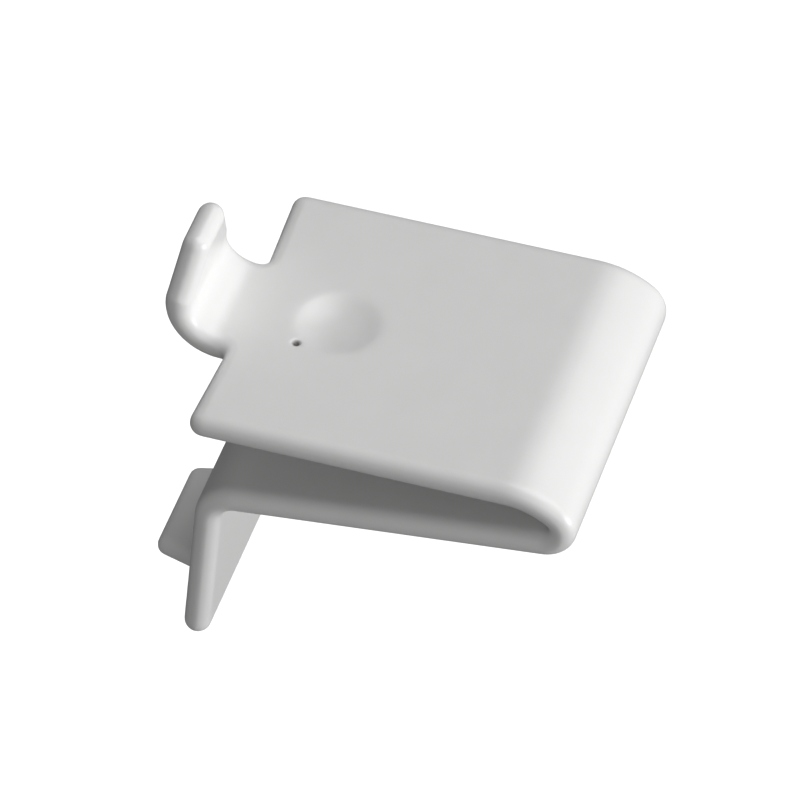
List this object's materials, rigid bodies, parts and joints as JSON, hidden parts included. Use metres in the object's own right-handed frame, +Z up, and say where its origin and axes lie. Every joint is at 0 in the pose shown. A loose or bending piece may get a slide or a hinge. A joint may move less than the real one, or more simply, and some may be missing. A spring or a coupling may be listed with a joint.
{
  "type": "shelf support clip",
  "caption": "Folded steel shelf support clip with an upturned hook, a springy leaf and a tab for a slotted upright.",
  "frame": {"origin": "on the top face of the shelf plate, midway across the strip, level with the rear corners of the plate", "axes": "+Z up out of the shelf plate, +X from the upright towards the front fold, +Y across the strip"},
  "size_m": [0.0438, 0.0318, 0.0401],
  "materials": {
    "coating": "satin"
  },
  "bodies": {
    "root": {"clip": "coating"}
  },
  "joints": []
}
